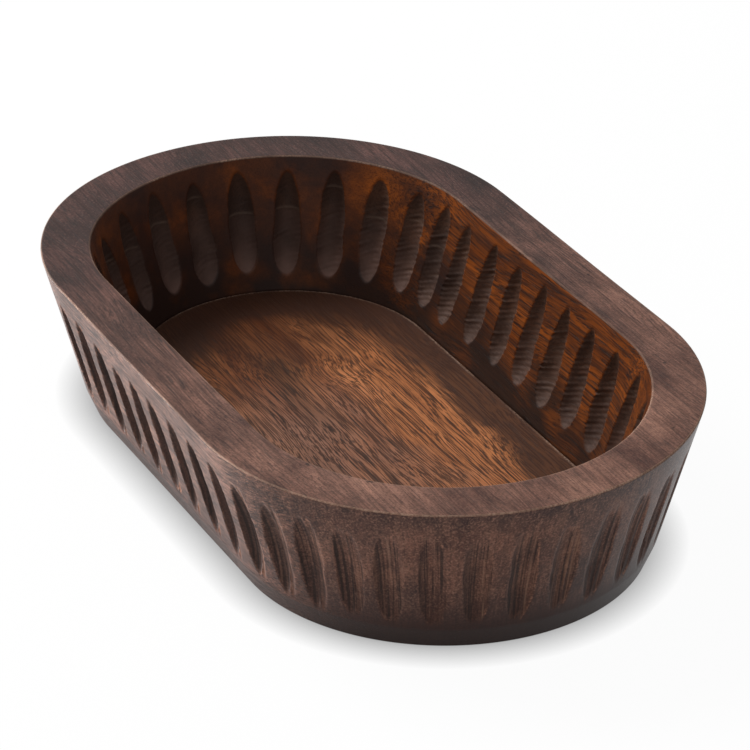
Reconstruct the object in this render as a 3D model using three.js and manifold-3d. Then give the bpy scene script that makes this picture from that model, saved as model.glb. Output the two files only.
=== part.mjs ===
import * as THREE from "three";
import { mergeVertices } from "three/addons/utils/BufferGeometryUtils.js";
import Module from "manifold-3d";

// Oval carved wooden bowl. Millimetres, +Z up, long side along X.
// The origin is the middle of the flat foot.

// Overall size
const LENGTH = 254;
const WIDTH = 152.4;
const HEIGHT = 50.8;

// Wall ring
const RIM_WIDTH = 15.7;
const WALL_LEAN = 11.8;
const CHAMFER_HEIGHT = 7;
const CHAMFER_INSET = 2.8;
const RIM_EASE = 0.5;
const INNER_LEAN = 12.7;
const END_STEPS = 28;

// Floor board on its ledge
const FLOOR_TOP = 8.6;
const LEDGE_HEIGHT = 3.2;
const LEDGE_WIDTH = 7;
const BOARD_EASE = 0.6;
const JOINT_GAP = 0.3;

// Carved flutes on the outside
const OUT_COUNT = 50;
const OUT_WIDTH = 8.2;
const OUT_DEPTH = 2.5;
const OUT_TOP_POWER = 2.2;
const OUT_LOW_POWER = 2.6;
const OUT_END_SHARE = 0.5;
const OUT_LOW = 9;
const OUT_HIGH = 42;
const OUT_START = 7;
const OUT_DRIFT = 4.6;
const OUT_DRIFT_AT = 112;
const OUT_DRIFT_SPAN = 38;

// Carved flutes on the inside
const IN_COUNT = 37;
const IN_WIDTH = 8.6;
const IN_DEPTH = 2.6;
const IN_TOP_POWER = 3.2;
const IN_LOW_POWER = 4;
const IN_END_SHARE = 0.9;
const IN_LOW = 14;
const IN_HIGH = 47;
const IN_START = 7.6;
const IN_DRIFT = 3.6;
const IN_DRIFT_AT = 364;
const IN_DRIFT_SPAN = 18;

// Facets of one flute, along and across it
const FLUTE_STEPS = 8;
const FLUTE_FACETS = 4;
const FLUTE_RUNOUT = 1.08;

const rimRadius = WIDTH / 2;
const halfStraight = (LENGTH - WIDTH) / 2;
const chamferRadius = rimRadius - WALL_LEAN;
const footRadius = chamferRadius - CHAMFER_INSET;
const mouthRadius = rimRadius - RIM_WIDTH;
const seatRadius = mouthRadius - INNER_LEAN;
const ledgeRadius = seatRadius - LEDGE_WIDTH;
const boardRadius = seatRadius - JOINT_GAP;
const boardBase = LEDGE_HEIGHT + JOINT_GAP;

// The two leaning wall lines, as radius and height at the low and high ends
const outerWall = { low: [chamferRadius, CHAMFER_HEIGHT], high: [rimRadius, HEIGHT - RIM_EASE], side: 1 };
const innerWall = { low: [seatRadius, FLOOR_TOP], high: [mouthRadius, HEIGHT], side: -1 };

// One oval loop: two half circles joined by straight sides
function ovalLoop(radius, height) {
  const loop = [];
  for (const end of [1, -1]) {
    for (let i = 0; i <= END_STEPS; i += 1) {
      const angle = Math.PI * (i / END_STEPS - 0.5) + (end < 0 ? Math.PI : 0);
      const x = end * halfStraight + radius * Math.cos(angle);
      loop.push(x, radius * Math.sin(angle), height);
    }
  }
  return loop;
}

// A closed ring swept round the oval from a list of [radius, height] corners
function ovalRing(corners) {
  const around = 2 * (END_STEPS + 1);
  const positions = corners.flatMap(([radius, height]) => ovalLoop(radius, height));
  const index = [];
  for (let row = 0; row < corners.length; row += 1) {
    const next = (row + 1) % corners.length;
    for (let i = 0; i < around; i += 1) {
      const j = (i + 1) % around;
      const a = row * around + i;
      const b = row * around + j;
      const c = next * around + j;
      const d = next * around + i;
      index.push(a, b, c, a, c, d);
    }
  }
  const ring = new THREE.BufferGeometry();
  ring.setAttribute("position", new THREE.Float32BufferAttribute(positions, 3));
  ring.setIndex(index);
  return ring;
}

// Place on the oval after a run along it, from the left end of the front side
function ovalStation(radius, run) {
  const straight = 2 * halfStraight;
  const half = straight + Math.PI * radius;
  const length = 2 * half;
  const place = ((run % length) + length) % length;
  const turned = place >= half;
  const along = turned ? place - half : place;
  const flip = turned ? -1 : 1;
  if (along < straight) {
    return { x: flip * (along - halfStraight), y: -flip * radius, out: [0, -flip] };
  }
  const angle = (along - straight) / radius - Math.PI / 2;
  const out = [flip * Math.cos(angle), flip * Math.sin(angle)];
  return { x: flip * halfStraight + radius * out[0], y: radius * out[1], out };
}

// Spindle that cuts one flute: it dips below the wall by the depth and runs out at both ends,
// at a point where the power is low and bluntly where it is high
function fluteSpindle({ width, depth, topPower, lowPower }, length) {
  const standOff = (width * width / 4 - depth * depth) / (2 * depth);
  const profile = [];
  const reach = FLUTE_RUNOUT * length / 2;
  profile.push(new THREE.Vector2(0, -reach));
  for (let i = 0; i <= FLUTE_STEPS; i += 1) {
    const t = FLUTE_RUNOUT * (2 * i / FLUTE_STEPS - 1);
    const fade = Math.abs(t) ** (t > 0 ? topPower : lowPower);
    profile.push(new THREE.Vector2(standOff + depth * (1 - fade), t * length / 2));
  }
  profile.push(new THREE.Vector2(0, reach));
  const halfArc = Math.asin(width / 2 / (standOff + depth));
  const sides = Math.floor(FLUTE_FACETS * Math.PI / halfArc);
  const spindle = new THREE.LatheGeometry(profile, sides);
  return { spindle, standOff };
}

// All flute cutters of one wall, evenly stepped with a slow drift of the carver's hand.
// Round the ends the flutes keep their width and get shallower.
function fluteCutters(wall, flute) {
  const slope = (wall.high[0] - wall.low[0]) / (wall.high[1] - wall.low[1]);
  const middle = (flute.low + flute.high) / 2;
  const radius = wall.low[0] + slope * (middle - wall.low[1]);
  const stretch = Math.hypot(slope, 1);
  const length = (flute.high - flute.low) * stretch;
  const round = 4 * halfStraight + 2 * Math.PI * radius;
  const cutters = [];
  for (let i = 0; i < flute.count; i += 1) {
    const even = flute.start + i * round / flute.count;
    const away = (even - flute.driftAt) / flute.driftSpan;
    const station = ovalStation(radius, even + flute.drift * Math.exp(-away * away));
    const [outX, outY] = station.out;
    const depth = flute.depth * (1 - (1 - flute.endShare) * Math.abs(outX));
    const { spindle, standOff } = fluteSpindle({ ...flute, depth }, length);
    const up = new THREE.Vector3(slope * outX, slope * outY, 1).normalize();
    const face = new THREE.Vector3(outX, outY, -slope).normalize().multiplyScalar(wall.side);
    const across = new THREE.Vector3().crossVectors(face, up);
    const centre = new THREE.Vector3(station.x, station.y, middle).addScaledVector(face, standOff);
    const place = new THREE.Matrix4().makeBasis(face, up, across).setPosition(centre);
    cutters.push(spindle.applyMatrix4(place));
  }
  return cutters;
}

const solids = await Module();
solids.setup();

function toSolid(geometry) {
  const bare = geometry.clone();
  bare.deleteAttribute("normal");
  bare.deleteAttribute("uv");
  const welded = mergeVertices(bare, 1e-4);
  const mesh = new solids.Mesh({
    numProp: 3,
    vertProperties: new Float32Array(welded.attributes.position.array),
    triVerts: new Uint32Array(welded.index.array),
  });
  return new solids.Manifold(mesh);
}

function toGeometry(solid) {
  const mesh = solid.getMesh();
  const geometry = new THREE.BufferGeometry();
  geometry.setAttribute("position", new THREE.Float32BufferAttribute(mesh.vertProperties, 3));
  geometry.setIndex(Array.from(mesh.triVerts));
  geometry.computeVertexNormals();
  return geometry;
}

function named(name, geometry, color) {
  const material = new THREE.MeshStandardMaterial({ color, roughness: 0.6 });
  const mesh = new THREE.Mesh(geometry, material);
  mesh.name = name;
  return mesh;
}

// Wall ring: foot, chamfer, leaning outside, flat rim, leaning inside, seat and ledge
function wallRing() {
  const slopeIn = INNER_LEAN / (HEIGHT - FLOOR_TOP);
  const blank = ovalRing([
    [footRadius, 0],
    [chamferRadius, CHAMFER_HEIGHT],
    [rimRadius, HEIGHT - RIM_EASE],
    [rimRadius - RIM_EASE, HEIGHT],
    [mouthRadius + RIM_EASE, HEIGHT],
    [mouthRadius - slopeIn * RIM_EASE, HEIGHT - RIM_EASE],
    [seatRadius, FLOOR_TOP],
    [seatRadius, LEDGE_HEIGHT],
    [ledgeRadius, LEDGE_HEIGHT],
    [ledgeRadius, 0],
  ]);
  const outside = fluteCutters(outerWall, {
    count: OUT_COUNT,
    width: OUT_WIDTH,
    depth: OUT_DEPTH,
    topPower: OUT_TOP_POWER,
    lowPower: OUT_LOW_POWER,
    endShare: OUT_END_SHARE,
    low: OUT_LOW,
    high: OUT_HIGH,
    start: OUT_START,
    drift: OUT_DRIFT,
    driftAt: OUT_DRIFT_AT,
    driftSpan: OUT_DRIFT_SPAN,
  });
  const inside = fluteCutters(innerWall, {
    count: IN_COUNT,
    width: IN_WIDTH,
    depth: IN_DEPTH,
    topPower: IN_TOP_POWER,
    lowPower: IN_LOW_POWER,
    endShare: IN_END_SHARE,
    low: IN_LOW,
    high: IN_HIGH,
    start: IN_START,
    drift: IN_DRIFT,
    driftAt: IN_DRIFT_AT,
    driftSpan: IN_DRIFT_SPAN,
  });
  const flutes = solids.Manifold.union([...outside, ...inside].map(toSolid));
  return toGeometry(toSolid(blank).subtract(flutes));
}

// Floor board: an oval plank with eased edges that lies on the ledge
function floorBoard() {
  const core = boardRadius - BOARD_EASE;
  const oval = new THREE.Shape();
  oval.absarc(halfStraight, 0, core, -Math.PI / 2, Math.PI / 2, false);
  oval.absarc(-halfStraight, 0, core, Math.PI / 2, 3 * Math.PI / 2, false);
  oval.closePath();
  const board = new THREE.ExtrudeGeometry(oval, {
    depth: FLOOR_TOP - boardBase - 2 * BOARD_EASE,
    bevelEnabled: true,
    bevelThickness: BOARD_EASE,
    bevelSize: BOARD_EASE,
    bevelSegments: 1,
    curveSegments: END_STEPS,
  });
  board.translate(0, 0, boardBase + BOARD_EASE);
  return board;
}

const bowl = new THREE.Group();
bowl.name = "bowl";
bowl.add(named("wall_ring", wallRing(), 0x5a4136));
bowl.add(named("floor_board", floorBoard(), 0x6b3f22));

export default bowl;
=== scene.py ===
import math

import bpy
import numpy as np
from mathutils import Matrix, Vector

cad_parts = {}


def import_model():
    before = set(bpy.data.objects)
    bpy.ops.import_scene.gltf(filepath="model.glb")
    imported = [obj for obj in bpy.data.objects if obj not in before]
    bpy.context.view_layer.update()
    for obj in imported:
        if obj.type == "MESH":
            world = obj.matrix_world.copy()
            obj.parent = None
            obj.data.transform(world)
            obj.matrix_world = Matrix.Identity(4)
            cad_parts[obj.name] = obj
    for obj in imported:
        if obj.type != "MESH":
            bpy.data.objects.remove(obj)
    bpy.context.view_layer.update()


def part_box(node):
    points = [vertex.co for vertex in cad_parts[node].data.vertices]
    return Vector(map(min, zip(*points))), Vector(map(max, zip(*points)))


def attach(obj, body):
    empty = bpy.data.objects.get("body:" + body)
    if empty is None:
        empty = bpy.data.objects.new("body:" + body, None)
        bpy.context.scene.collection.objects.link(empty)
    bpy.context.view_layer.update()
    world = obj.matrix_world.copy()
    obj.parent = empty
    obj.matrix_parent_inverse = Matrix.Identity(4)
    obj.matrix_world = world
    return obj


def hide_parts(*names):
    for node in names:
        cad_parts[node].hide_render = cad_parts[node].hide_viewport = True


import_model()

# Oval carved wooden bowl: a wall ring with flutes outside and inside, and a floor board.
# Sizes are in millimetres, as in the part's source. MM turns them into Blender's metres.
MM = 0.001
SEED = 11

# Overall size, read from the frame
ring_low, ring_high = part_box("wall_ring")
board_low, board_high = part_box("floor_board")
LENGTH = (ring_high[0] - ring_low[0]) / MM
WIDTH = (ring_high[1] - ring_low[1]) / MM
HEIGHT = (ring_high[2] - ring_low[2]) / MM
FLOOR_TOP = board_high[2] / MM
BOARD_BASE = board_low[2] / MM
BOARD_RADIUS = (board_high[1] - board_low[1]) / MM / 2

# Wall ring
RIM_WIDTH = 15.7
WALL_LEAN = 11.8
CHAMFER_HEIGHT = 7.0
CHAMFER_INSET = 2.8
RIM_EASE = 0.5
INNER_LEAN = 12.7
LEDGE_WIDTH = 7.0
JOINT_GAP = 0.3

rim_radius = WIDTH / 2
half_straight = (LENGTH - WIDTH) / 2
chamfer_radius = rim_radius - WALL_LEAN
foot_radius = chamfer_radius - CHAMFER_INSET
mouth_radius = rim_radius - RIM_WIDTH
seat_radius = mouth_radius - INNER_LEAN
ledge_radius = seat_radius - LEDGE_WIDTH
ledge_height = BOARD_BASE - JOINT_GAP
inner_slope = INNER_LEAN / (HEIGHT - FLOOR_TOP)

# Floor board: the rounding of its edge, and where its underside closes, as a share of its radius
BOARD_EDGE_ROUND = 0.6
BOARD_CAP_SHARE = 0.5

# Carved flutes, outside and inside. low and high are the heights of a flute's two ends, and the
# powers say how bluntly it runs out there. start and drift place the row round the oval.
# end_share is the share of the depth that is left on the round ends. scars is the number of stop
# marks, strokes the kind of tool marks, and stroke_run how far chatter reaches up and down.
# taper narrows a flute upwards, bulge bows it sideways, and second_pass is the share of the depth
# that the gouge's second pass has.
OUTSIDE = {
    "count": 50, "width": 8.2, "depth": 2.5, "low": 9.0, "high": 42.0,
    "top_power": 2.2, "low_power": 2.6,
    "start": 7.0, "drift": 4.6, "drift_at": 112.0, "drift_span": 38.0,
    "end_share": 0.5, "scars": 0, "strokes": "upright", "stroke_depth": 0.1,
    "taper": 0.0, "bulge": 0.5, "second_pass": 0.62,
}
INSIDE = {
    "count": 37, "width": 8.6, "depth": 2.6, "low": 14.0, "high": 47.0,
    "top_power": 3.2, "low_power": 4.0,
    "start": 7.6, "drift": 3.6, "drift_at": 364.0, "drift_span": 18.0,
    "end_share": 0.9, "scars": 1, "strokes": "chatter", "stroke_depth": 0.16, "stroke_run": 33.0,
    "taper": 0.16, "bulge": 0.0, "second_pass": 0.0,
}

# How much single flutes differ: lean in mm per mm, lift in mm, the rest as shares
LEAN_SPREAD = 0.012
LIFT_SPREAD = 0.5
REACH_SPREAD = 0.025
CUT_SPREAD = 0.06
SHAPE_SPREAD = 0.5

# Slow waves of the hand as sums of sines, each with its share, rate and phase factor:
# a flute's edge along its half length, and the rim's two edges round the oval
EDGE_SINES = ((0.6, 4.1, 1.0), (0.4, 9.7, 2.3))
EDGE_WAVE = 0.07
RIM_SINES = ((1.0, 3.0, 1.0), (0.7, 7.0, 2.3))
OUTER_WOBBLE = 0.5
OUTER_PHASE = 1.0
INNER_WOBBLE = 0.25
INNER_PHASE = 2.0

# Two passes of the gouge in one flute, as shares of its width
FIRST_OFFSET = -0.08
FIRST_WIDTH = 0.84
SECOND_OFFSET = 0.22
SECOND_WIDTH = 0.56
SHELF_FADE = 0.2

# A flute's edge is soft, and the flute ends at this many half lengths from its middle
EDGE_SOFT = 0.09
RUN_OUT = 1.12

# Bow-shaped stop marks: where they are drawn along the upper half of a flute, and their form
SCAR_LOW = 0.15
SCAR_HIGH = 0.7
SCARS_DRAWN = 2
SCAR_BOW = -0.03
SCAR_WIDTH = 0.3
SCAR_DEPTH = 0.1
SCAR_FADE = 2.0
# Painted light below a stop mark: its share at a flute's middle, and how much it grows towards the bottom
BELOW_MIDDLE = 0.35
BELOW_GAIN = 0.65

# Tool strokes: random heights at many steps along, blended between a few keys across.
# Upright lines keep a share of their strength on the sides.
STROKE_STEPS = 79
STROKE_KEYS = 4
SIDE_LINES = 0.5

# Chatter lies across a flute, tilted and bowed, and frays its edge. Its strength changes from
# the middle of the flute to the two flanks, and it calms down on the round ends.
CHATTER_TILT = 0.38
CHATTER_BOW = 0.03
CHATTER_UNEVEN = 1.5
CHATTER_MIDDLE = 0.7
CHATTER_SIDE = 0.7
CHATTER_EDGE = 0.05
CHATTER_LIMIT = 2.0
CHATTER_CALM = 0.75

# Tool marks fade in where a flute is deeper than this share of its depth
MARKS_START = 0.1
MARKS_GAIN = 3.0

# Mesh density
SIDE_COLUMNS = 200
END_COLUMNS = 440
FOOT_ROWS = 6
CHAMFER_ROWS = 8
WALL_ROWS = 112
RIM_ROWS = 18
EASE_ROWS = 5
SEAT_ROWS = 4
LEDGE_ROWS = 3
BOARD_RINGS = 60
BOARD_COLUMN_STEP = 4
SHARP_ANGLE = 38.0

# Zones of the ring's surface
ZONE_UNDER = 0.0
ZONE_CHAMFER = 1.0
ZONE_OUTSIDE = 2.0
ZONE_RIM = 3.0
ZONE_INSIDE = 4.0
ZONE_SEAT = 5.0

# Marks that the carving leaves at each point of the ring, for the colour of its wood
FLUTE_MARKS = ("flank", "tone", "scar", "score", "below", "shelf", "turn")
MARKS = FLUTE_MARKS + ("flute", "end", "edge", "zone", "level")


# Oval layout: every column has a point on the spine and an outward direction

def oval_columns():
    """Points on the spine and outward directions of all columns, from the left end of the front side."""
    spine = []
    out = []
    for flip in (1, -1):
        for i in range(SIDE_COLUMNS):
            spine.append((flip * half_straight * (2 * i / SIDE_COLUMNS - 1), 0.0))
            out.append((0.0, -flip))
        for i in range(END_COLUMNS):
            angle = math.pi * (i / END_COLUMNS - 0.5)
            spine.append((flip * half_straight, 0.0))
            out.append((flip * math.cos(angle), flip * math.sin(angle)))
    return np.array(spine), np.array(out)


def column_run(radius):
    """Run along the oval of that radius, from the left end of the front side, at each column."""
    side = 2 * half_straight * np.arange(SIDE_COLUMNS) / SIDE_COLUMNS
    end = 2 * half_straight + math.pi * radius * np.arange(END_COLUMNS) / END_COLUMNS
    half = np.concatenate([side, end])
    return np.concatenate([half, half + 2 * half_straight + math.pi * radius])


def oval_length(radius):
    """Length once round the oval of that radius."""
    return 4 * half_straight + 2 * math.pi * radius


def sines(place, phase, terms):
    """Sum of sine waves, each with its share, rate and phase factor."""
    return sum(share * np.sin(rate * place + factor * phase) for share, rate, factor in terms)


def rim_wave(phase):
    """A slow wave of the carver's hand round the rim, between 0 and 1, at each column."""
    turn = 2 * math.pi * column_run(rim_radius) / oval_length(rim_radius)
    most = sum(share for share, _, _ in RIM_SINES)
    return 0.5 + sines(turn, phase, RIM_SINES) / (2 * most)


# Flutes, as a depth below the leaning wall

def end_turn(run, half_round):
    """0 for a place on a straight side, 1 in the middle of a round end."""
    straight = 2 * half_straight
    part = np.clip((run % half_round - straight) / (half_round - straight), 0, 1)
    return math.sin(math.pi * part)


def depth_share(flute, turn):
    """Share of the depth that a flute has. It is shallower on the round ends than on the sides."""
    return 1 - (1 - flute["end_share"]) * turn


def draw_flute(flute, rng):
    """What the carver's hand does at one flute. The order of these draws decides the whole row."""
    return {
        "lean": rng.normal(0, LEAN_SPREAD),
        "lift": rng.normal(0, LIFT_SPREAD),
        "reach": 1 + rng.normal(0, REACH_SPREAD),
        "cut": 1 + rng.normal(0, CUT_SPREAD),
        "tone": rng.normal(0, 1),
        "scars": rng.uniform(SCAR_LOW, SCAR_HIGH, SCARS_DRAWN)[:flute["scars"]],
        "taper": flute["taper"] * (1 + rng.normal(0, SHAPE_SPREAD)),
        "bulge": flute["bulge"] * (1 + rng.normal(0, SHAPE_SPREAD)),
        "phases": rng.uniform(0, 2 * math.pi, 2),
        "strokes": rng.normal(0, 1, (STROKE_KEYS, STROKE_STEPS)),
    }


def stroke_marks(strokes, along, across):
    """Uneven tool marks: random heights along one direction, changing slowly in the other."""
    keys, steps = strokes.shape
    spots = np.linspace(-1, 1, steps)
    place = np.clip(across, 0, 1) * (keys - 1)
    total = 0
    for k in range(keys):
        total = total + np.interp(along, spots, strokes[k]) * np.clip(1 - np.abs(place - k), 0, 1)
    return total


def chatter_marks(flute, strokes, aside, rise):
    """Tool marks that lie across a flute, by turns high and low."""
    uneven = np.abs(strokes) ** CHATTER_UNEVEN * (-1.0) ** np.arange(STROKE_STEPS)
    tilted = rise + CHATTER_TILT * aside + CHATTER_BOW * aside ** 2
    return stroke_marks(uneven, tilted / flute["stroke_run"], aside / flute["width"] + 0.5)


def spindle_dip(aside, t, width, cut, flute):
    """Depth of one pass of the gouge below the wall, negative outside the pass."""
    stand_off = (width ** 2 / 4 - cut ** 2) / (2 * cut)
    power = np.where(t > 0, flute["top_power"], flute["low_power"])
    radius = stand_off + cut * (1 - np.abs(t) ** power)
    return np.sqrt(np.clip(radius * np.abs(radius) - aside * aside, 0, None)) - stand_off


def gouge_passes(flute, aside, t, cut):
    """Depth of a flute after one or two passes of the gouge, and the shelf that the second left."""
    width = flute["width"]
    if flute["second_pass"] == 0:
        return spindle_dip(aside, t, width, cut, flute), 0.0
    second_cut = flute["second_pass"] * cut
    first = spindle_dip(aside - FIRST_OFFSET * width, t, FIRST_WIDTH * width, cut, flute)
    second = spindle_dip(aside - SECOND_OFFSET * width, t, SECOND_WIDTH * width, second_cut, flute)
    shelf = np.clip((second - first) / SHELF_FADE, 0, 1) * (second > 0)
    return np.maximum(first, second), shelf


def carve_flute(flute, drawn, turn, gap, rise):
    """One flute at places beside its centre and above its middle: how far aside, and its marks."""
    reach = (flute["high"] - flute["low"]) / 2 * drawn["reach"]
    cut = flute["depth"] * depth_share(flute, turn) * drawn["cut"]
    t = (rise - drawn["lift"]) / reach
    aside = gap + drawn["lean"] * rise - drawn["bulge"] * (1 - t * t)
    right, left = (sines(t, phase, EDGE_SINES) for phase in drawn["phases"])
    wave = np.where(aside > 0, right, left)
    aside = aside / ((1 - drawn["taper"] * t) * (1 + EDGE_WAVE * wave))
    if flute["strokes"] == "upright":
        score = stroke_marks(drawn["strokes"], aside / flute["width"], (t + 1) / 2)
    else:
        score = chatter_marks(flute, drawn["strokes"], aside, rise)
        frayed = CHATTER_EDGE * (1 - CHATTER_CALM * turn)
        aside = aside / (1 + frayed * np.clip(score, -CHATTER_LIMIT, CHATTER_LIMIT))
    dip, shelf = gouge_passes(flute, aside, t, cut)
    soft = EDGE_SOFT * np.logaddexp(0, dip / EDGE_SOFT)
    scar = np.zeros(soft.shape)
    below = np.zeros(soft.shape)
    # Stop marks, and below each a paler part of painted light that grows towards the flute's bottom
    for place in drawn["scars"]:
        arc = rise - reach * place - SCAR_BOW * aside ** 2
        scar = np.maximum(scar, np.exp(-(arc / SCAR_WIDTH) ** 2))
        under = np.clip(0.5 - arc / SCAR_FADE, 0, 1)
        below = np.maximum(below, under * (BELOW_MIDDLE - BELOW_GAIN * t))
    return aside, {
        "depth": np.where(np.abs(t) < RUN_OUT, soft, 0),
        "flank": aside / flute["width"],
        "tone": drawn["tone"],
        "scar": scar * (turn > 0),
        "turn": turn,
        "score": score,
        "below": below,
        "shelf": shelf,
    }


def flute_field(flute, low, high, rng):
    """Cut depth and marks of one leaning wall's flutes at each row and column."""
    slope = (high[0] - low[0]) / (high[1] - low[1])
    middle = (flute["low"] + flute["high"]) / 2
    middle_radius = low[0] + slope * (middle - low[1])
    round_length = oval_length(middle_radius)
    half_round = round_length / 2
    runs = column_run(middle_radius)
    heights = np.linspace(low[1], high[1], WALL_ROWS + 1)
    rise = heights[:, None] - middle
    shape = (heights.size, runs.size)
    field = {name: np.zeros(shape) for name in ("depth",) + FLUTE_MARKS}
    nearest = np.full(shape, round_length)
    for i in range(flute["count"]):
        even = flute["start"] + i * round_length / flute["count"]
        away = (even - flute["drift_at"]) / flute["drift_span"]
        centre = even + flute["drift"] * math.exp(-away * away)
        gap = (runs - centre + half_round) % round_length - half_round
        near = np.abs(gap) < flute["width"]
        turn = end_turn(centre, half_round)
        aside, given = carve_flute(flute, draw_flute(flute, rng), turn, gap[None, near], rise)
        here = np.abs(aside) < nearest[:, near]
        for name, value in given.items():
            field[name][:, near] = np.where(here, value, field[name][:, near])
        nearest[:, near] = np.minimum(nearest[:, near], np.abs(aside))
    return heights, slope, field


def carved_wall(flute, low, high, rng):
    """One leaning wall: its heights, its slope, the cut below it and the marks for its wood."""
    heights, slope, field = flute_field(flute, low, high, rng)
    turn = field["turn"]
    share = np.clip(field["depth"] / (flute["depth"] * depth_share(flute, turn)), 0, 1)
    within = np.clip(MARKS_GAIN * (share - MARKS_START), 0, 1)
    if flute["strokes"] == "upright":
        score = field["score"] * (SIDE_LINES + (1 - SIDE_LINES) * turn)
    else:
        score = field["score"] * (1 - CHATTER_CALM * turn)
        score = score * np.clip(CHATTER_MIDDLE - CHATTER_SIDE * field["flank"], 0, 1)
    cut = field["depth"] + (flute["stroke_depth"] * score - SCAR_DEPTH * field["scar"]) * within
    marks = {name: field[name] for name in FLUTE_MARKS}
    marks["flute"] = share
    marks["score"] = score * within
    marks["tone"] = field["tone"] * within
    marks["scar"] = field["scar"] * within
    return heights, slope, cut, marks


# Meshes of the two pieces, as rows of loops round the oval

def carved_ring():
    """The ring's surface, from under the foot up the outside, over the rim and down the inside."""
    rng = np.random.default_rng(SEED)
    spine, out = oval_columns()
    end = np.abs(out[:, 0])
    outer_sway = -OUTER_WOBBLE * rim_wave(OUTER_PHASE)
    inner_sway = INNER_WOBBLE * (2 * rim_wave(INNER_PHASE) - 1)
    rows = []

    def add(radius, height, outer=0.0, inner=0.0, **marks):
        """One loop. outer and inner say how far it follows the wobble of the rim's two edges."""
        rows.append((radius + outer * outer_sway + inner * inner_sway, height, marks))

    def line(start, stop, steps, zone, first=False, last=True, **marks):
        """Loops on a straight line of the section, with or without its two end points."""
        for i in range(0 if first else 1, steps + 1 if last else steps):
            k = i / steps
            radius = start[0] + (stop[0] - start[0]) * k
            height = start[1] + (stop[1] - start[1]) * k
            add(radius, height, zone=zone, **marks)

    def wall(flute, low, high, side, zone):
        """Loops of a carved wall: going up outside, where side is 1, and down inside, where it is -1."""
        heights, slope, cut, marks = carved_wall(flute, low, high, rng)
        stretch = math.hypot(slope, 1)
        for r in range(WALL_ROWS + 1)[::side]:
            base = low[0] + slope * (heights[r] - low[1])
            level = (heights[r] - low[1]) / (high[1] - low[1])
            sink = side * cut[r] / stretch
            follow = {"outer": level} if side > 0 else {"inner": level}
            here = {name: value[r] for name, value in marks.items()}
            add(base - sink, heights[r] + sink * slope, zone=zone, level=level, end=end, **follow, **here)

    # Foot, chamfer and outside wall, going up
    foot = (foot_radius, 0)
    chamfer = (chamfer_radius, CHAMFER_HEIGHT)
    line((ledge_radius, 0), foot, FOOT_ROWS, ZONE_UNDER, first=True)
    line(foot, chamfer, CHAMFER_ROWS, ZONE_CHAMFER, last=False, end=end)
    wall(OUTSIDE, chamfer, (rim_radius, HEIGHT - RIM_EASE), 1, ZONE_OUTSIDE)
    # Rounded outer arris of the rim, the flat rim, the rounded inner arris
    for i in range(1, EASE_ROWS):
        angle = math.pi / 2 * i / EASE_ROWS
        radius = rim_radius - RIM_EASE * (1 - math.cos(angle))
        height = HEIGHT - RIM_EASE * (1 - math.sin(angle))
        add(radius, height, outer=1.0, zone=ZONE_RIM, edge=1.0)
    for i in range(RIM_ROWS + 1):
        k = i / RIM_ROWS
        radius = rim_radius - RIM_EASE + (mouth_radius + 2 * RIM_EASE - rim_radius) * k
        add(radius, HEIGHT, outer=1 - k, inner=k, zone=ZONE_RIM)
    for i in range(1, EASE_ROWS):
        angle = math.pi / 2 * i / EASE_ROWS
        lean = inner_slope * RIM_EASE * (i / EASE_ROWS)
        radius = mouth_radius + RIM_EASE * (1 - math.sin(angle)) - lean
        height = HEIGHT - RIM_EASE * (1 - math.cos(angle))
        add(radius, height, inner=1.0, zone=ZONE_RIM, edge=1.0)
    # Inside wall, seat for the board and the ledge it lies on, going down
    seat = (seat_radius, FLOOR_TOP)
    corner = (seat_radius, ledge_height)
    ledge = (ledge_radius, ledge_height)
    wall(INSIDE, seat, (mouth_radius - inner_slope * RIM_EASE, HEIGHT - RIM_EASE), -1, ZONE_INSIDE)
    line(seat, corner, SEAT_ROWS, ZONE_SEAT)
    line(corner, ledge, LEDGE_ROWS, ZONE_SEAT)
    line(ledge, (ledge_radius, 0), LEDGE_ROWS, ZONE_UNDER, last=False)

    points = np.empty((len(rows), len(spine), 3))
    marks = {name: np.zeros(points.shape[:2]) for name in MARKS}
    for r, (radius, height, given) in enumerate(rows):
        points[r, :, :2] = spine + out * radius[:, None]
        points[r, :, 2] = height
        for name, value in given.items():
            marks[name][r] = value
    wrap = (spine + out * rim_radius) * MM
    marks["wrap_x"] = np.broadcast_to(wrap[:, 0], points.shape[:2])
    marks["wrap_y"] = np.broadcast_to(wrap[:, 1], points.shape[:2])
    return points, marks


def floor_plank():
    """Oval board in loops from under it, up its edge and in to its middle line."""
    spine, out = (part[::BOARD_COLUMN_STEP] for part in oval_columns())
    flat = BOARD_RADIUS - BOARD_EDGE_ROUND
    loops = [(flat * (i / BOARD_RINGS), FLOOR_TOP) for i in range(1, BOARD_RINGS + 1)]
    for i in range(1, EASE_ROWS + 1):
        angle = math.pi / 2 * i / EASE_ROWS
        drop = BOARD_EDGE_ROUND * (1 - math.cos(angle))
        loops.append((flat + BOARD_EDGE_ROUND * math.sin(angle), FLOOR_TOP - drop))
    loops.append((BOARD_RADIUS, BOARD_BASE))
    loops.append((flat * BOARD_CAP_SHARE, BOARD_BASE))
    loops.reverse()
    points = np.empty((len(loops), len(spine), 3))
    marks = {name: np.zeros(points.shape[:2]) for name in ("edge", "inset")}
    for r, (radius, height) in enumerate(loops):
        points[r, :, :2] = spine + out * radius
        points[r, :, 2] = height
        marks["edge"][r] = 1.0 if radius > flat else 0.0
        marks["inset"][r] = BOARD_RADIUS - radius
    return points, marks


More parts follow.
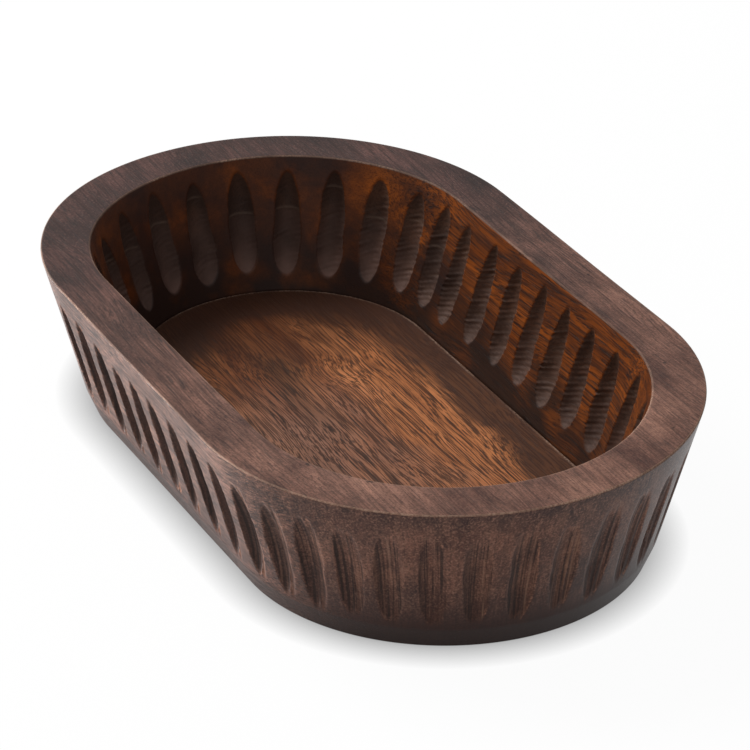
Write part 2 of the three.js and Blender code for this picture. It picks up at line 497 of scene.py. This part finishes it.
def grid_mesh(name, points, marks, close_rows, caps=False):
    """A mesh from rows of loops: each row closes on itself, and the rows close when asked."""
    rows, count, _ = points.shape
    ids = np.arange(rows * count).reshape(rows, count)
    last = rows if close_rows else rows - 1
    here = ids[:last]
    above = ids[(np.arange(last) + 1) % rows]
    quads = np.stack([here, np.roll(here, -1, 1), np.roll(above, -1, 1), above], -1).reshape(-1, 4)
    faces = quads.tolist()
    if caps:
        faces.append(ids[0][::-1].tolist())
        faces.append(ids[-1].tolist())
    mesh = bpy.data.meshes.new(name)
    mesh.from_pydata((points.reshape(-1, 3) * MM).tolist(), [], faces)
    for key, value in marks.items():
        layer = mesh.attributes.new(key, "FLOAT", "POINT")
        layer.data.foreach_set("value", value.astype(np.float32).ravel())
    mesh.polygons.foreach_set("use_smooth", np.ones(len(mesh.polygons), bool))
    mesh.set_sharp_from_angle(angle=math.radians(SHARP_ANGLE))
    mesh.update()
    piece = bpy.data.objects.new(name, mesh)
    bpy.context.scene.collection.objects.link(piece)
    return piece


# Node trees. The mix node has its colour sockets at these places.
MIX_FIRST = 6
MIX_SECOND = 7
MIX_RESULT = 2


class Nodes:
    """A short way to write a node tree. Its values are sockets that factors and layers name.

    A factor is a number, the name of a value, or a ramp over a named value. A layer is a colour
    and the factors whose product is its share.
    """

    def __init__(self, holder):
        holder.use_nodes = True
        self.holder = holder
        self.tree = holder.node_tree
        self.tree.nodes.clear()
        self.values = {}

    def add(self, kind, **settings):
        node = self.tree.nodes.new(kind)
        for key, value in settings.items():
            setattr(node, key, value)
        return node

    def wire(self, source, target):
        self.tree.links.new(source, target)

    def put(self, socket, value):
        if hasattr(value, "is_linked"):
            self.wire(value, socket)
        else:
            socket.default_value = value

    def math(self, operation, a, b):
        node = self.add("ShaderNodeMath", operation=operation)
        self.put(node.inputs[0], a)
        self.put(node.inputs[1], b)
        return node.outputs[0]

    def mix(self, share, a, b):
        node = self.add("ShaderNodeMix", data_type="RGBA")
        self.put(node.inputs[0], share)
        self.put(node.inputs[MIX_FIRST], a)
        self.put(node.inputs[MIX_SECOND], b)
        return node.outputs[MIX_RESULT]

    def span(self, value, low, high, at_low, at_high):
        node = self.add("ShaderNodeMapRange", clamp=True)
        for i, given in enumerate((value, low, high, at_low, at_high)):
            self.put(node.inputs[i], given)
        return node.outputs[0]

    def mark(self, name):
        return self.add("ShaderNodeAttribute", attribute_name=name).outputs["Fac"]

    def noise(self, place, scale, detail, rough):
        stretch = self.add("ShaderNodeMapping")
        self.wire(place, stretch.inputs[0])
        stretch.inputs["Scale"].default_value = scale
        node = self.add("ShaderNodeTexNoise")
        self.wire(stretch.outputs[0], node.inputs["Vector"])
        node.inputs["Scale"].default_value = 1.0
        node.inputs["Detail"].default_value = detail
        node.inputs["Roughness"].default_value = rough
        return node.outputs[0]

    def factor(self, given):
        """The number or socket that a factor stands for."""
        if isinstance(given, str):
            return self.values[given]
        if isinstance(given, float):
            return given
        name, *levels = given
        return self.span(self.values[name], *levels)

    def product(self, factors):
        """Product of a list of factors."""
        total, *rest = (self.factor(given) for given in factors)
        for value in rest:
            total = self.math("MULTIPLY", total, value)
        return total

    def total(self, terms):
        """Sum of terms, each a list of factors."""
        total, *rest = (self.product(factors) for factors in terms)
        for value in rest:
            total = self.math("ADD", total, value)
        return total

    def paint(self, colour, layers):
        """A colour with layers laid over it, one after the other."""
        for tint, *factors in layers:
            colour = self.mix(self.product(factors), colour, tint)
        return colour

    def uneven(self, name, spread):
        """A named value that swings by the spread with the clouds, for an uneven border."""
        swing = self.span(self.values["cloud"], *SWING_CLOUD, -spread, spread)
        return self.math("ADD", self.values[name], swing)


def srgb(red, green, blue):
    """Linear colour from screen values of 0 to 255."""
    def linear(value):
        part = value / 255
        return part / 12.92 if part <= 0.04045 else ((part + 0.055) / 1.055) ** 2.4
    return (linear(red), linear(green), linear(blue), 1.0)


def ramp(name, low, high, at_low=0.0, at_high=1.0):
    """A factor that follows a named value: at_low up to low, at_high from high on."""
    return (name, low, high, at_low, at_high)


def past(border):
    """A factor for the zones past a border between two zones."""
    return ramp("zone", border - ZONE_FADE, border + ZONE_FADE)


def before(border):
    """A factor for the zones before a border between two zones."""
    return ramp("zone", border - ZONE_FADE, border + ZONE_FADE, 1.0, 0.0)


# Noises of the wood: scale per metre, detail, roughness, and whether they bend with the grain along X
NOISES = {
    "band": ((7.0, 75.0, 75.0), 4.0, 0.6, True),
    "streak": ((30.0, 560.0, 560.0), 3.0, 0.6, True),
    "fibre": ((44.0, 1900.0, 1900.0), 3.0, 0.6, True),
    "pore": ((80.0, 2600.0, 2600.0), 2.0, 0.5, True),
    "speck": ((1500.0, 1500.0, 1500.0), 2.0, 0.55, False),
    "cloud": ((38.0, 60.0, 60.0), 3.0, 0.55, False),
    "mottle": ((210.0, 210.0, 130.0), 5.0, 0.65, False),
    "pit": ((190.0, 260.0, 260.0), 1.0, 0.55, False),
}
BOARD_NOISES = ("band", "streak", "fibre", "pore", "speck", "cloud")
WARP_NOISE = ((9.0, 30.0, 30.0), 2.0, 0.55)
WARP_REACH = 16.0
SCRAPE_NOISE = ((1250.0, 1250.0, 28.0), 3.0, 0.55)
SWING_CLOUD = (0.3, 0.7)

# Finish of both woods
SPECULAR_LEVEL = 0.13
BUMP_STRENGTH = 0.4
BUMP_DEPTH = 0.2
PORE_HOLLOW = [ramp("pore", 0.6, 0.72)]

# Parts of the ring, each as a product of factors. x and y are in millimetres, zone is the zone of the
# surface, level runs from 0 at a wall's foot to 1 at its top, end and turn are 1 on the round ends,
# flute is 1 at the bottom of a flute, and flank runs across it.
ZONE_FADE = 0.1
RIM_BEGINS = (ZONE_OUTSIDE + ZONE_RIM) / 2
RIM_ENDS = (ZONE_RIM + ZONE_INSIDE) / 2
RING_PARTS = {
    "outer": [before(RIM_BEGINS)],
    "rim": [past(RIM_BEGINS), before(RIM_ENDS)],
    "inner": [past(RIM_ENDS)],
    "carved": [ramp("flute", 0.02, 0.16)],
    "carved_outside": ["carved", "outer"],
    "round_end": [ramp("end", 0.12, 0.42)],
    "above_foot": [ramp("level", 0.05, 0.35)],
    "side_grain": [ramp("end", 0.25, 0.7, 1.0, 0.3)],
    "calm_rim": ["rim", ramp("x", 0.0, 100.0, 0.25, 0.5)],
    # Less of the flutes' stain and painted shade on the outside of the round ends
    "paler_flute_end": ["outer", ramp("turn", 0.15, 0.6, 0.0, 0.78)],
}

# Uneven borders inside: a darkening rises from the foot, and painted shade spreads from the far end
RISE_SPREAD = 0.3
FAR_SPREAD = 40.0

# Outside: brown lands, dark and light, each on the sides and on the round ends. The lands on the straight
# sides are a little paler and greyer, which is painted light.
LAND_BAND = [ramp("band", 0.3, 0.7)]
LAND_DARK = (srgb(98, 65, 54), srgb(94, 59, 48))
LAND_LIGHT = (srgb(142, 102, 86), srgb(140, 97, 79))
OUTSIDE_LAYERS = [
    # Painted shade: a dark foot, most on the round ends, a dark chamfer facing the floor, and shade under
    # the rim of the round ends
    (srgb(36, 17, 15), ramp("level", 0.0, 0.55, 0.88, 0.0), ramp("end", 0.2, 0.7, 0.25, 1.0)),
    (srgb(44, 29, 24), ramp("zone", ZONE_CHAMFER + 0.4, ZONE_CHAMFER + 0.9, 0.72, 0.0)),
    (srgb(46, 33, 34), ramp("level", 0.76, 0.95, 0.0, 0.65), "end"),
    # Clouds of stain, scraper lines and dark specks
    (srgb(58, 40, 37), ramp("cloud", 0.4, 0.66, 0.0, 0.55)),
    (srgb(40, 27, 24), ramp("scrape", 0.46, 0.68, 0.0, 0.4)),
    (srgb(42, 27, 24), ramp("speck", 0.3, 0.48, 0.62, 0.0)),
    # Rubbed specks, dark mottle and bald patches
    (srgb(146, 108, 90), ramp("speck", 0.52, 0.66, 0.0, 0.6), "above_foot"),
    (srgb(46, 31, 29), ramp("mottle", 0.5, 0.66, 0.0, 0.5)),
    (srgb(150, 108, 88), ramp("mottle", 0.34, 0.46, 0.3, 0.0), "above_foot"),
    # Painted shade: the far end and the right wall are darker
    (srgb(40, 26, 23), ramp("x", -110.0, -60.0, 0.35, 0.0)),
    (srgb(48, 31, 29), ramp("y", 0.0, 60.0, 0.0, 0.35)),
]

# Rim: greyer and clouded, dark and light, each at the far end and at the near end
RIM_CLOUD = [ramp("cloud", 0.32, 0.68)]
RIM_NEAR = [[ramp("x", -60.0, 30.0, 0.0, 0.72)], [ramp("x", 60.0, 120.0, 0.0, 0.28)]]
RIM_DARK = (srgb(34, 19, 18), srgb(88, 56, 46))
RIM_LIGHT = (srgb(90, 60, 54), srgb(166, 121, 102))
RIM_LAYERS = [
    (srgb(38, 24, 21), ramp("speck", 0.46, 0.64, 0.0, 0.4)),
    (srgb(128, 98, 86), ramp("speck", 0.3, 0.46, 0.35, 0.0)),
    (srgb(52, 36, 33), ramp("mottle", 0.5, 0.68, 0.0, 0.35)),
]

# Inside: orange brown high up, nearly black at the foot, and darker at the far end as painted shade
RUST_BAND = [ramp("band", 0.34, 0.66)]
RUST = (srgb(70, 32, 12), srgb(146, 76, 26))
INSIDE_LAYERS = [
    (srgb(38, 26, 20), ramp("rise", 0.08, 0.62, 0.95, 0.0)),
    # Painted shade on the far end
    (srgb(40, 26, 23), ramp("far", -100.0, -50.0, 0.75, 0.0)),
]

# Streaks, fibres and pores of the whole ring, and a few dark pits on the rim
GRAIN_LAYERS = [
    (srgb(40, 26, 21), ramp("streak", 0.44, 0.64, 0.0, 0.65), "long_grain"),
    (srgb(36, 22, 18), ramp("fibre", 0.49, 0.58, 0.0, 0.6), "long_grain"),
    (srgb(22, 13, 10), ramp("pore", 0.55, 0.61, 0.0, 0.8), "long_grain"),
    (srgb(22, 14, 12), ramp("pit", 0.76, 0.8, 0.0, 0.8), "rim"),
]

# Flutes are darker, from stain and painted shade, except on the outside of the round ends. Colours
# outside and inside.
FLUTE_STAIN_AND_SHADE = 0.9
HOLLOW = (srgb(68, 45, 37), srgb(78, 57, 46))
HOLLOW_LAYERS = [
    (srgb(40, 29, 25), ramp("tone", -1.5, 1.5, 0.0, 0.45)),
    (srgb(28, 19, 16), ramp("fibre", 0.44, 0.7, 0.0, 0.5)),
    # Tool strokes: dark where the gouge lifted, paler where it bit
    (srgb(24, 16, 13), ramp("score", -2.4, 0.0, 0.62, 0.0)),
    (srgb(120, 94, 76), ramp("score", 0.4, 2.2, 0.0, 0.42)),
    # Painted shade in the flutes of the far end
    (srgb(34, 24, 22), ramp("far", -100.0, -50.0, 0.6, 0.0)),
    # Painted light: paler below a stop mark, most towards the flute's bottom, and on the shelf of the
    # second pass
    (srgb(106, 82, 74), "below", ramp("cloud", 0.3, 0.6, 0.3, 0.9), ramp("turn", 0.0, 0.6, 0.25, 1.0)),
    (srgb(136, 98, 80), "shelf", ramp("turn", 0.0, 0.5, 0.65, 0.25)),
]

# Scraper lines in the flutes outside with painted shade on their left flank at the round ends, pale stop
# marks, pale brinks rubbed and with painted light, arrises worn and with a painted highlight at the near
# end
WORN_AND_HIGHLIT_EDGES = [
    ["edge", ramp("speck", 0.42, 0.64), ramp("cloud", 0.42, 0.62), 0.5],
    ["edge", 0.16],
    # Painted highlight on the arrises of the near end
    ["edge", ramp("speck", 0.4, 0.58), ramp("x", 50.0, 110.0, 0.0, 0.4)],
]
WEAR_AND_PAINTED_LIGHT_LAYERS = [
    (srgb(28, 18, 16), "carved_outside", ramp("scrape", 0.5, 0.62, 0.0, 0.7)),
    (srgb(140, 106, 86), "carved_outside", ramp("scrape", 0.3, 0.42, 0.5, 0.0), "turn"),
    # Painted shade on the left flank of the flutes on the round ends
    (srgb(30, 20, 18), "carved_outside", ramp("flank", -0.4, -0.12, 0.6, 0.0), "turn"),
    (srgb(150, 128, 112), "scar", 0.16),
    # Pale brinks of the outside flutes: rubbed, with painted light that is stronger on the right flank
    (
        srgb(172, 120, 96), "outer", ramp("flute", 0.01, 0.05), ramp("flute", 0.08, 0.25, 1.0, 0.0),
        ramp("mottle", 0.5, 0.62, 0.04, 0.5), ramp("speck", 0.42, 0.56, 0.2, 1.0),
        ramp("flank", -0.2, 0.2, 0.3, 1.0),
    ),
    (srgb(168, 138, 118), "worn_and_highlit_edge"),
]

# The rubbed outside shines at a low angle, the flutes and the rim are duller
RING_ROUGH = [
    [ramp("fibre", 0.3, 0.7, 0.28, 0.4)],
    ["inner", 0.1],
    ["rim", 0.2],
    ["edge", 0.2],
    ["carved", 0.2],
]

# Floor board: warm brown, rubbed greyer in the near left half, and darker towards the far end as painted
# shadow, where the border swings against the clouds. inset is the distance from the board's edge.
BOARD_BAND = [ramp("band", 0.36, 0.64)]
BOARD_BROWN = (srgb(116, 65, 36), srgb(190, 122, 76))
LEFT_SPREAD = 14.0
BOARD_FAR_SPREAD = -40.0
BOARD_LAYERS = [
    (srgb(80, 46, 27), ramp("streak", 0.46, 0.68, 0.0, 0.3)),
    (srgb(144, 106, 88), ramp("left", -12.0, 20.0, 0.7, 0.0), ramp("x", -45.0, -10.0)),
    (srgb(52, 30, 19), ramp("fibre", 0.48, 0.55, 0.0, 0.86)),
    (srgb(30, 17, 11), ramp("pore", 0.56, 0.62, 0.0, 0.8)),
    # Painted shadow towards the far end
    (srgb(66, 33, 17), ramp("far", -66.7, -33.3, 0.62, 0.0)),
]
BOARD_ROUGH = [ramp("fibre", 0.3, 0.7, 0.42, 0.56)]

# Swirls in the board's grain, and dark spots on it: stains, and painted shade in the far corners. Place,
# radii and strength
BOARD_SWIRLS = [((-36.0, 13.0), (8.0, 12.0), 0.13)]
BOARD_STAINS_AND_SHADE = [
    ((-45.0, -5.0), (13.0, 7.0), 0.75),
    ((-22.0, -8.0), (24.0, 4.0), 0.5),
    ((20.0, -22.0), (30.0, 5.0), 0.35),
    # Painted shade in the two far corners
    ((-74.0, -20.0), (13.0, 11.0), 0.7),
    ((-76.0, 24.0), (20.0, 10.0), 0.7),
]
STAIN_AND_SHADE_BROWN = srgb(44, 28, 20)

# Painted shadow as a ragged dark border of the board, wider at the far end, and its pale lip, worn and
# with a painted highlight
BORDER_SPREAD = 4.0
BORDER_FAR = [ramp("x", -90.0, -50.0, -5.0, 0.0)]
LIP = [ramp("inset", 0.7, 1.3, 1.0, 0.0)]
BORDER_LAYERS = [
    # Painted shadow along the border
    (srgb(54, 33, 24), ramp("border", 11.0, 19.0, 0.88, 0.0)),
    # Pale lip: worn, with a painted highlight along the board's edge
    (srgb(160, 134, 116), "lip", ramp("speck", 0.36, 0.6), ramp("cloud", 0.4, 0.6, 0.15, 0.7)),
]


def spot(n, centre, radii):
    """Soft oval spot on the plan of the bowl, 1 in the middle and 0 outside."""
    total = 0.0
    for name, middle, radius in zip("xy", centre, radii):
        away = n.math("DIVIDE", n.math("SUBTRACT", n.values[name], middle), radius)
        total = n.math("ADD", n.math("MULTIPLY", away, away), total)
    return n.math("EXPONENT", n.math("MULTIPLY", total, -1.0), 0.0)


def add_grain(n, noises, swirls=()):
    """Give a wood its place and its noises. The grain runs along X and bends round the swirls."""
    place = n.add("ShaderNodeTexCoord").outputs["Object"]
    split = n.add("ShaderNodeSeparateXYZ")
    n.wire(place, split.inputs[0])
    n.values["x"] = n.math("DIVIDE", split.outputs["X"], MM)
    n.values["y"] = n.math("DIVIDE", split.outputs["Y"], MM)
    warp = n.noise(place, *WARP_NOISE)
    for centre, radii, strength in swirls:
        warp = n.math("ADD", warp, n.math("MULTIPLY", spot(n, centre, radii), strength))
    bent = n.add("ShaderNodeVectorMath", operation="MULTIPLY_ADD")
    n.wire(warp, bent.inputs[0])
    bent.inputs[1].default_value = (0.0, WARP_REACH * MM, WARP_REACH * MM)
    n.wire(place, bent.inputs[2])
    for name in noises:
        scale, detail, rough, bends = NOISES[name]
        n.values[name] = n.noise(bent.outputs[0] if bends else place, scale, detail, rough)
    return split


def add_scrape(n, height):
    """Upright scraper lines run up the leaning wall, so they follow the wrapped place."""
    wrapped = n.add("ShaderNodeCombineXYZ")
    n.wire(n.mark("wrap_x"), wrapped.inputs["X"])
    n.wire(n.mark("wrap_y"), wrapped.inputs["Y"])
    n.wire(height, wrapped.inputs["Z"])
    n.values["scrape"] = n.noise(wrapped.outputs[0], *SCRAPE_NOISE)


def fibre_height(n):
    """Fine relief of the grain: raised fibres and sunk pores."""
    return n.math("SUBTRACT", n.values["fibre"], n.product(PORE_HOLLOW))


def finish_wood(n, colour, rough, height):
    """A wood from its colour, roughness and fine relief."""
    shader = n.add("ShaderNodeBsdfPrincipled")
    n.wire(colour, shader.inputs["Base Color"])
    n.wire(rough, shader.inputs["Roughness"])
    shader.inputs["Specular IOR Level"].default_value = SPECULAR_LEVEL
    bump = n.add("ShaderNodeBump")
    bump.inputs["Strength"].default_value = BUMP_STRENGTH
    bump.inputs["Distance"].default_value = BUMP_DEPTH * MM
    n.wire(height, bump.inputs["Height"])
    n.wire(bump.outputs[0], shader.inputs["Normal"])
    output = n.add("ShaderNodeOutputMaterial")
    n.wire(shader.outputs[0], output.inputs["Surface"])
    return n.holder


def ring_wood():
    """Stained and rubbed wood of the ring with painted light and shade, by its zones, flutes and tool
    marks.
    """
    n = Nodes(bpy.data.materials.new("ring_wood"))
    split = add_grain(n, NOISES)
    add_scrape(n, split.outputs["Z"])
    for name in MARKS:
        n.values[name] = n.mark(name)
    for name, factors in RING_PARTS.items():
        n.values[name] = n.product(factors)
    n.values["rise"] = n.uneven("level", RISE_SPREAD)
    n.values["far"] = n.uneven("x", FAR_SPREAD)
    n.values["worn_and_highlit_edge"] = n.total(WORN_AND_HIGHLIT_EDGES)
    # Long grain shows fully on the sides, fainter on the rim and only as a mottle where the grain ends
    open_grain = n.math("SUBTRACT", 1.0, n.values["calm_rim"])
    n.values["long_grain"] = n.math("MULTIPLY", n.values["side_grain"], open_grain)
    # Each zone has its own wood, and the grain runs through all of them
    round_end = n.values["round_end"]
    # The lands on the straight sides are a little paler: painted light
    outside = n.mix(n.product(LAND_BAND), n.mix(round_end, *LAND_DARK), n.mix(round_end, *LAND_LIGHT))
    near = n.total(RIM_NEAR)
    rim = n.mix(n.product(RIM_CLOUD), n.mix(near, *RIM_DARK), n.mix(near, *RIM_LIGHT))
    inside = n.mix(n.product(RUST_BAND), *RUST)
    colour = n.mix(n.values["rim"], n.paint(outside, OUTSIDE_LAYERS), n.paint(rim, RIM_LAYERS))
    colour = n.mix(n.values["inner"], colour, n.paint(inside, INSIDE_LAYERS))
    colour = n.paint(colour, GRAIN_LAYERS)
    # Stain and painted shade in the flutes, then the wear with painted light and shade over all
    hollow = n.paint(n.mix(n.values["inner"], *HOLLOW), HOLLOW_LAYERS)
    flute_darkening = n.math("SUBTRACT", FLUTE_STAIN_AND_SHADE, n.values["paler_flute_end"])
    colour = n.mix(n.math("MULTIPLY", n.values["carved"], flute_darkening), colour, hollow)
    colour = n.paint(colour, WEAR_AND_PAINTED_LIGHT_LAYERS)
    height = n.math("MULTIPLY", fibre_height(n), n.values["long_grain"])
    return finish_wood(n, colour, n.total(RING_ROUGH), height)


def board_wood():
    """Wood of the floor board, with a swirl, dark stains, painted shade in its far corners and as a
    ragged border, and a pale lip, rubbed and with a painted highlight.
    """
    n = Nodes(bpy.data.materials.new("board_wood"))
    add_grain(n, BOARD_NOISES, BOARD_SWIRLS)
    n.values["inset"] = n.mark("inset")
    n.values["left"] = n.uneven("y", LEFT_SPREAD)
    n.values["far"] = n.uneven("x", BOARD_FAR_SPREAD)
    n.values["border"] = n.math("ADD", n.uneven("inset", BORDER_SPREAD), n.product(BORDER_FAR))
    n.values["lip"] = n.math("MAXIMUM", n.mark("edge"), n.product(LIP))
    colour = n.mix(n.product(BOARD_BAND), *BOARD_BROWN)
    colour = n.paint(colour, BOARD_LAYERS)
    for centre, radii, strength in BOARD_STAINS_AND_SHADE:
        stain_and_shade = n.math("MULTIPLY", spot(n, centre, radii), strength)
        colour = n.mix(stain_and_shade, colour, STAIN_AND_SHADE_BROWN)
    colour = n.paint(colour, BORDER_LAYERS)
    return finish_wood(n, colour, n.product(BOARD_ROUGH), fibre_height(n))


# Studio, in metres and watts: a white floor with a faint contact shade, a grey world that is seen
# as white, and three lamps with their place, size and power
WHITE = (1.0, 1.0, 1.0, 1.0)
FLOOR_GREY = (0.85, 0.85, 0.85, 1.0)
FLOOR_WHITE = 0.96
FLOOR_SIZE = 6.0
FLOOR_DROP = 0.0002
SHADE_REACH = 0.011
SHADE_SHARE = 0.8
SHADE_SAMPLES = 16
WORLD_GREY = (0.32, 0.32, 0.3264, 1.0)
LAMPS = [
    ("key_light", (-0.95, -0.53, 1.05), (0.8, 0.8), 24.0),
    ("side_light", (-1.0, -0.72, 0.025), (0.5, 0.05), 38.0),
    ("front_light", (1.2, -0.9, 0.9), (0.8, 0.8), 4.0),
]


def seen_rays(n):
    """1 for the rays that see the studio: from the camera, in a gloss and through something clear."""
    rays = n.add("ShaderNodeLightPath")
    seen = n.math("MAXIMUM", rays.outputs["Is Camera Ray"], rays.outputs["Is Glossy Ray"])
    return n.math("MAXIMUM", seen, rays.outputs["Is Transmission Ray"])


def studio_floor():
    """White floor: it lights the bowl as a grey one does, and is seen as white with a contact shade."""
    n = Nodes(bpy.data.materials.new("studio_floor"))
    diffuse = n.add("ShaderNodeBsdfDiffuse")
    diffuse.inputs["Color"].default_value = FLOOR_GREY
    shade = n.add("ShaderNodeAmbientOcclusion", samples=SHADE_SAMPLES)
    shade.inputs["Distance"].default_value = SHADE_REACH
    white = n.add("ShaderNodeEmission")
    n.wire(n.mix(SHADE_SHARE, WHITE, shade.outputs["Color"]), white.inputs["Color"])
    white.inputs["Strength"].default_value = 1.0
    blend = n.add("ShaderNodeMixShader")
    n.wire(n.math("MULTIPLY", seen_rays(n), FLOOR_WHITE), blend.inputs[0])
    n.wire(diffuse.outputs[0], blend.inputs[1])
    n.wire(white.outputs[0], blend.inputs[2])
    output = n.add("ShaderNodeOutputMaterial")
    n.wire(blend.outputs[0], output.inputs["Surface"])
    return n.holder


def studio_world():
    """Grey light from all round, seen as white."""
    n = Nodes(bpy.data.worlds.new("studio"))
    background = n.add("ShaderNodeBackground")
    background.inputs["Strength"].default_value = 1.0
    n.wire(n.mix(seen_rays(n), WORLD_GREY, WHITE), background.inputs["Color"])
    output = n.add("ShaderNodeOutputWorld")
    n.wire(background.outputs[0], output.inputs["Surface"])
    return n.holder


def studio():
    """Floor, world and lamps. Each lamp is turned to the middle of the bowl's foot."""
    bpy.ops.mesh.primitive_plane_add(size=FLOOR_SIZE, location=(0, 0, -FLOOR_DROP))
    ground = bpy.context.object
    ground.name = "studio_floor"
    ground.data.materials.append(studio_floor())
    bpy.context.scene.world = studio_world()
    for name, place, size, watts in LAMPS:
        lamp = bpy.data.lights.new(name, "AREA")
        lamp.shape = "RECTANGLE"
        lamp.size, lamp.size_y = size
        lamp.energy = watts
        holder = bpy.data.objects.new(name, lamp)
        holder.location = place
        holder.rotation_euler = (-Vector(place)).to_track_quat("-Z", "Y").to_euler()
        bpy.context.scene.collection.objects.link(holder)


# Camera, fitted to the photograph: angles in degrees, focal length in pixels of the photograph
IMAGE_PIXELS = 750
CAMERA_AZIMUTH = 62.52
CAMERA_ELEVATION = 28.72
CAMERA_DISTANCE = 1110.3
CAMERA_FOCAL_PIXELS = 3665.9
CAMERA_ROLL = 0.23
CAMERA_TARGET = (-1.96, 5.60, 25.4)
SENSOR_WIDTH = 36.0


def photo_camera():
    """The photograph's camera, placed round its target and rolled a little."""
    azimuth = math.radians(CAMERA_AZIMUTH)
    elevation = math.radians(CAMERA_ELEVATION)
    roll = math.radians(CAMERA_ROLL)
    back = Vector((
        math.sin(azimuth) * math.cos(elevation),
        -math.cos(azimuth) * math.cos(elevation),
        math.sin(elevation),
    ))
    right = (-back).cross(Vector((0, 0, 1))).normalized()
    up = right.cross(-back)
    turned_right = math.cos(roll) * right + math.sin(roll) * up
    turned_up = math.cos(roll) * up - math.sin(roll) * right
    place = (Vector(CAMERA_TARGET) + back * CAMERA_DISTANCE) * MM
    lens = bpy.data.cameras.new("photo_camera")
    lens.sensor_fit = "HORIZONTAL"
    lens.sensor_width = SENSOR_WIDTH
    lens.lens = SENSOR_WIDTH * CAMERA_FOCAL_PIXELS / IMAGE_PIXELS
    camera = bpy.data.objects.new("photo_camera", lens)
    turn = Matrix((turned_right, turned_up, back)).transposed().to_4x4()
    camera.matrix_world = Matrix.Translation(place) @ turn
    bpy.context.scene.collection.objects.link(camera)
    bpy.context.scene.camera = camera


# The two pieces in the frame, then the studio and the camera

ring = grid_mesh("carved_ring", *carved_ring(), close_rows=True)
ring.data.materials.append(ring_wood())
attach(ring, "root")
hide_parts("wall_ring")

plank = grid_mesh("floor_plank", *floor_plank(), close_rows=False, caps=True)
plank.data.materials.append(board_wood())
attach(plank, "root")
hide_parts("floor_board")

studio()
photo_camera()
bpy.context.scene.view_settings.view_transform = "Standard"
